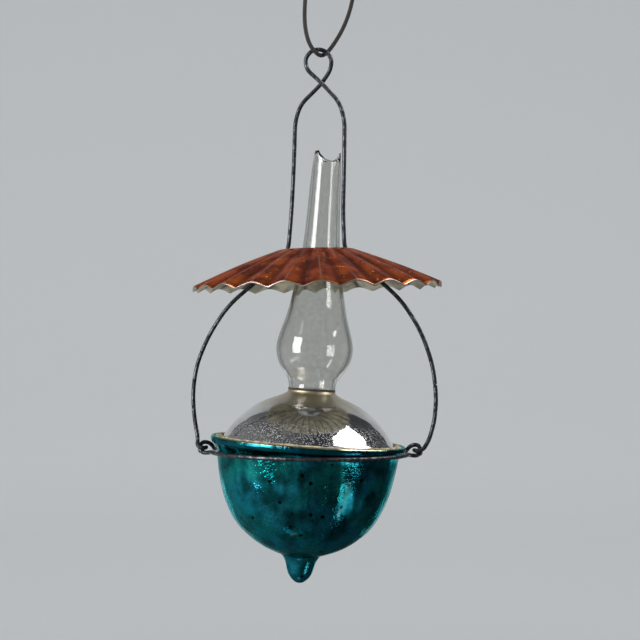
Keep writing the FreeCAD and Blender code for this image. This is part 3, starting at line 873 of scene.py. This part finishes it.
class LAMP_OT_glass(bpy.types.Operator):
    """Make the blown bowl, dome and chimney and the cement between them"""

    bl_idname = "lamp.glass"
    bl_label = "Blown Glass"

    CRUMB_HEIGHT, CRUMB_SPACING = 0.22 * MM, 1.3 * MM
    SOOT_UNEVEN, SOOT_SPACING = 0.02, 0.9 * MM
    RIM_SHARE, RIM_REACH = 0.4, 12.0  # the rim's share of the wall, and how fast it thickens below, in mm
    BREAK_START = 66 * MM
    # Each chip's turn about the chimney, half its width as an angle, and its share of the chip depth.
    FRONT_CHIP = (math.radians(-68), math.radians(66), 1.0)
    BACK_CHIP = (math.radians(98), math.radians(78), 0.8)
    RIM_UNEVEN = 0.08

    def execute(self, context):
        place = lamp_place()
        bowl = turned(outline(BOWL), closed=False, steps=128)
        mark_height(bowl, *self.ends(BOWL))
        finished("teal_bowl", placed(bowl, place), "lamp", "glass_bowl", "teal_glass", teal_finish())
        dome = turned(outline(DOME, sharp=(0, 1, 13, 14)), steps=128)
        mark_height(dome, *self.ends(DOME))
        finished("silver_dome", placed(dome, place), "lamp", "glass_dome", "silvered_glass", silver_finish())
        self.cements(place)
        self.chimney(place)
        return {"FINISHED"}

    def cements(self, place):
        """The crumbly cement that holds the dome in the lip, and the dark ring at its neck."""
        lip = turned(outline((
            (21.6, -1.15), (23.2, -1.15), (23.45, -0.2), (23.2, 0.5), (22.5, 0.8), (21.7, 0.75),
        ), sharp=(0,)), steps=160)
        for vert in lip.verts:
            if vert.co.z > 0:
                vert.co.z += self.CRUMB_HEIGHT * noise.noise(vert.co / self.CRUMB_SPACING)
        mortar = mortar_finish("lip_mortar", colours().mortar)
        finished("lip_mortar_ring", placed(lip, place), "lamp", "lip_cement", "cement", mortar)
        neck = turned(outline((
            (5.2, 12.95), (5.82, 12.95), (5.88, 13.25), (5.82, 13.55), (5.2, 13.55),
        ), sharp=(0, 4), steps=4), steps=96)
        for vert in neck.verts:
            out = Vector((vert.co.x, vert.co.y, 0))
            vert.co += out * self.SOOT_UNEVEN * noise.noise(vert.co / self.SOOT_SPACING)
        soot = mortar_finish("neck_soot", colours().soot)
        finished("neck_ring", placed(neck, place), "lamp", "neck_cement", "dark_cement", soot)

    def bite(self, turn, chip):
        """How deep a chip in the rim is at a turn: its depth at its middle and 0 past its ends."""
        middle, half_width, depth = chip
        off = abs(math.remainder(turn - middle, math.tau))
        return depth * math.cos(math.pi / 2 * min(1.0, off / half_width)) ** 0.7

    def chimney(self, place):
        """The clear chimney, thinner towards its broken rim."""
        wall = sizes().chimney_wall / MM
        top = CHIMNEY[-1][1]
        inside = []
        for radius, height in reversed(CHIMNEY):
            share = min(1.0, self.RIM_SHARE + (top - height) / self.RIM_REACH)
            inside.append((radius - wall * share, height))
        shape = turned(outline(CHIMNEY) + outline(inside))
        for vert in shape.verts:
            share = max(0.0, (vert.co.z - self.BREAK_START) / (top * MM - self.BREAK_START))
            turn = math.atan2(vert.co.y, vert.co.x)
            dip = max(self.bite(turn, self.FRONT_CHIP), self.bite(turn, self.BACK_CHIP))
            dip += self.RIM_UNEVEN * (1 + noise.noise(4 * Vector((math.cos(turn), math.sin(turn), 0))))
            vert.co.z -= sizes().chip_depth * dip * share ** 1.5
        mark_height(shape, *self.ends(CHIMNEY))
        mesh = placed(shape, place)
        finished("clear_chimney", mesh, "lamp", "chimney_glass", "clear_glass", glass_finish())

    def ends(self, points):
        """The lowest and the highest height of an outline, in mm."""
        heights = [height for _, height in points]
        return min(heights), max(heights)


# --------------------------------------------------------------------- stage
class LAMP_OT_stage(bpy.types.Operator):
    """Set up the camera, the pale sweep and the softboxes"""

    bl_idname = "lamp.stage"
    bl_label = "Stage"

    # Azimuth and rise in degrees, distance, width and height in metres, and share of the glow.
    SOFTBOXES = {
        "left_softbox": (-56, 14, 0.50, (0.24, 0.50), 1.3),
        "right_softbox": (84, 40, 0.50, (0.30, 0.30), 1.0),
        "low_right_card": (57, -42, 0.46, (0.05, 0.21), 0.5),
        "floor_card": (-60, -78, 0.38, (0.05, 0.02), 0.5),
        "left_rim_card": (-157, -24, 0.50, (0.04, 0.17), 0.16),
        "right_rim_card": (157, -24, 0.50, (0.04, 0.17), 0.16),
    }
    AIM = Vector((0, 0, -0.10))
    OPENING = math.radians(35)
    SWEEP = (
        (0, -0.50), (0.7, -0.50), (1.1, -0.46), (1.32, -0.34), (1.40, -0.15), (1.42, 0.2), (1.42, 0.9),
    )
    DIM_FLOOR = ((0.01, -0.49), (0.55, -0.47), (0.66, -0.41))
    DIM_WALLS = ((0.66, -0.41), (0.66, 0.10), (0.50, 0.36), (0.01, 0.48))

    def execute(self, context):
        scene = context.scene
        scene.view_settings.view_transform = "Standard"
        self.camera(scene)
        self.sweep(scene)
        self.surround(scene)
        self.world(scene)
        for name, (azimuth, rise, distance, size, share) in self.SOFTBOXES.items():
            self.softbox(name, azimuth, rise, distance, size, share * scene.lamp_stage.glow)
        return {"FINISHED"}

    def camera(self, scene):
        """A level camera in front of the lamp."""
        settings = scene.lamp_stage
        data = bpy.data.cameras.new("camera")
        data.lens = settings.lens
        camera = bpy.data.objects.new("camera", data)
        camera.location = (0, -settings.distance, settings.height)
        camera.rotation_euler = (math.pi / 2, 0, 0)
        scene.collection.objects.link(camera)
        scene.camera = camera

    def sweep(self, scene):
        """A pale floor that curves up into a wall all the way round."""
        shape = turned_skin([Vector((radius, 0, height)) for radius, height in self.SWEEP], 96)
        bmesh.ops.bevel(
            shape, geom=[edge for edge in shape.edges if edge.calc_face_angle(0) > 0.1], affect="EDGES",
            offset=0.05, segments=4, profile=0.5, material=-1,
        )
        finish = Finish("sweep_paint", Roughness=0.9, Emission_Strength=0.26)
        shade = (*scene.lamp_stage.backdrop, 1.0)
        finish.shader.inputs["Base Color"].default_value = shade
        finish.shader.inputs["Emission Color"].default_value = shade
        self.staged(scene, "pale_sweep", placed(shape, Matrix.Identity(4)), finish.material)

    def surround(self, scene):
        """A dim studio, open behind the lamp and seen only in reflections; its left side is lighter."""
        finish = Finish("dim_studio", Roughness=1.0, Emission_Strength=1.0)
        finish.shader.inputs["Base Color"].default_value = (0.0, 0.0, 0.0, 1.0)
        spot = add(finish.tree, "SeparateXYZ", {0: finish.place})
        side = ranged(finish.tree, spot.outputs["X"], -0.62, 0.15)
        up = product(finish.tree, ranged(finish.tree, spot.outputs["Z"], -0.20, 0.15), 0.70)
        glimmer = finish.mix(side, (0.46, 0.47, 0.47), (0.060, 0.062, 0.066))
        finish.drive("Emission Color", finish.mix(up, glimmer, (0.045, 0.047, 0.049)))
        self.hidden_wall(scene, "dim_floor", self.DIM_FLOOR, 0.0, finish.material)
        self.hidden_wall(scene, "dim_walls", self.DIM_WALLS, self.OPENING, finish.material)

    def hidden_wall(self, scene, name, profile, opening, material):
        """A wall that only reflections show, spun round the lamp but for an opening at the back."""
        start = Matrix.Rotation(-opening, 3, "Z")
        shape = bmesh.new()
        verts = [shape.verts.new(start @ Vector((0, radius, height))) for radius, height in profile]
        edges = [shape.edges.new(pair) for pair in zip(verts, verts[1:])]
        bmesh.ops.spin(
            shape, geom=verts + edges, cent=(0, 0, 0), axis=(0, 0, 1), angle=2 * opening - math.tau,
            steps=48, use_merge=opening == 0,
        )
        wall = self.staged(scene, name, placed(shape, Matrix.Identity(4)), material)
        wall.visible_camera = wall.visible_transmission = False
        wall.visible_diffuse = wall.visible_shadow = False

    def staged(self, scene, name, mesh, material):
        """A piece of the stage."""
        mesh.shade_smooth()
        mesh.materials.append(material)
        made = bpy.data.objects.new(name, mesh)
        scene.collection.objects.link(made)
        return made

    def world(self, scene):
        """Soft grey light from every side."""
        scene.world = bpy.data.worlds.new("studio")
        scene.world.use_nodes = True
        sky = scene.world.node_tree.nodes["Background"]
        sky.inputs["Color"].default_value = (0.86, 0.90, 0.95, 1.0)
        sky.inputs["Strength"].default_value = 0.5

    def softbox(self, name, azimuth, rise, distance, size, glow):
        """A soft rectangular light that faces the lamp; azimuth 0 is in front and 90 to the right."""
        turn, lift = math.radians(azimuth), math.radians(rise)
        away = Vector((math.sin(turn) * math.cos(lift), -math.cos(turn) * math.cos(lift), math.sin(lift)))
        data = bpy.data.lights.new(name, "AREA")
        data.shape = "RECTANGLE"
        data.size, data.size_y = size
        data.energy = glow * math.pi * size[0] * size[1]
        light = bpy.data.objects.new(name, data)
        light.location = self.AIM + away * distance
        light.rotation_euler = away.to_track_quat("Z", "Y").to_euler()
        light.visible_camera = False
        bpy.context.scene.collection.objects.link(light)


# --------------------------------------------------------------------- panel
class LAMP_PT_panel(bpy.types.Panel):
    """The lamp's pieces, sizes and colours"""

    bl_label = "Glass Lamp"
    bl_idname = "LAMP_PT_panel"
    bl_space_type = "VIEW_3D"
    bl_region_type = "UI"
    bl_category = "Glass Lamp"

    def draw(self, context):
        for operator in OPERATORS:
            self.layout.operator(operator.bl_idname)
        for group in (context.scene.lamp_sizes, context.scene.lamp_colours, context.scene.lamp_stage):
            box = self.layout.box()
            for name in type(group).__annotations__:
                box.prop(group, name)


OPERATORS = (LAMP_OT_stage, LAMP_OT_cord, LAMP_OT_wires, LAMP_OT_shade, LAMP_OT_glass)
GROUPS = {"lamp_sizes": LampSizes, "lamp_colours": LampColours, "lamp_stage": StageSettings}
CLASSES = (*GROUPS.values(), *OPERATORS, LAMP_PT_panel)


def register():
    """Register the classes and give the scene its settings."""
    for kind in CLASSES:
        bpy.utils.register_class(kind)
    for name, kind in GROUPS.items():
        setattr(bpy.types.Scene, name, PointerProperty(type=kind))


def unregister():
    """Take the settings and the classes away again."""
    for name in GROUPS:
        delattr(bpy.types.Scene, name)
    for kind in reversed(CLASSES):
        bpy.utils.unregister_class(kind)


def main():
    """Build the whole lamp."""
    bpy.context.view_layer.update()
    register()
    mottle_group()
    speck_group()
    bpy.ops.lamp.stage()
    bpy.ops.lamp.cord()
    bpy.ops.lamp.wires()
    bpy.ops.lamp.shade()
    bpy.ops.lamp.glass()


if __name__ == "__main__":
    main()
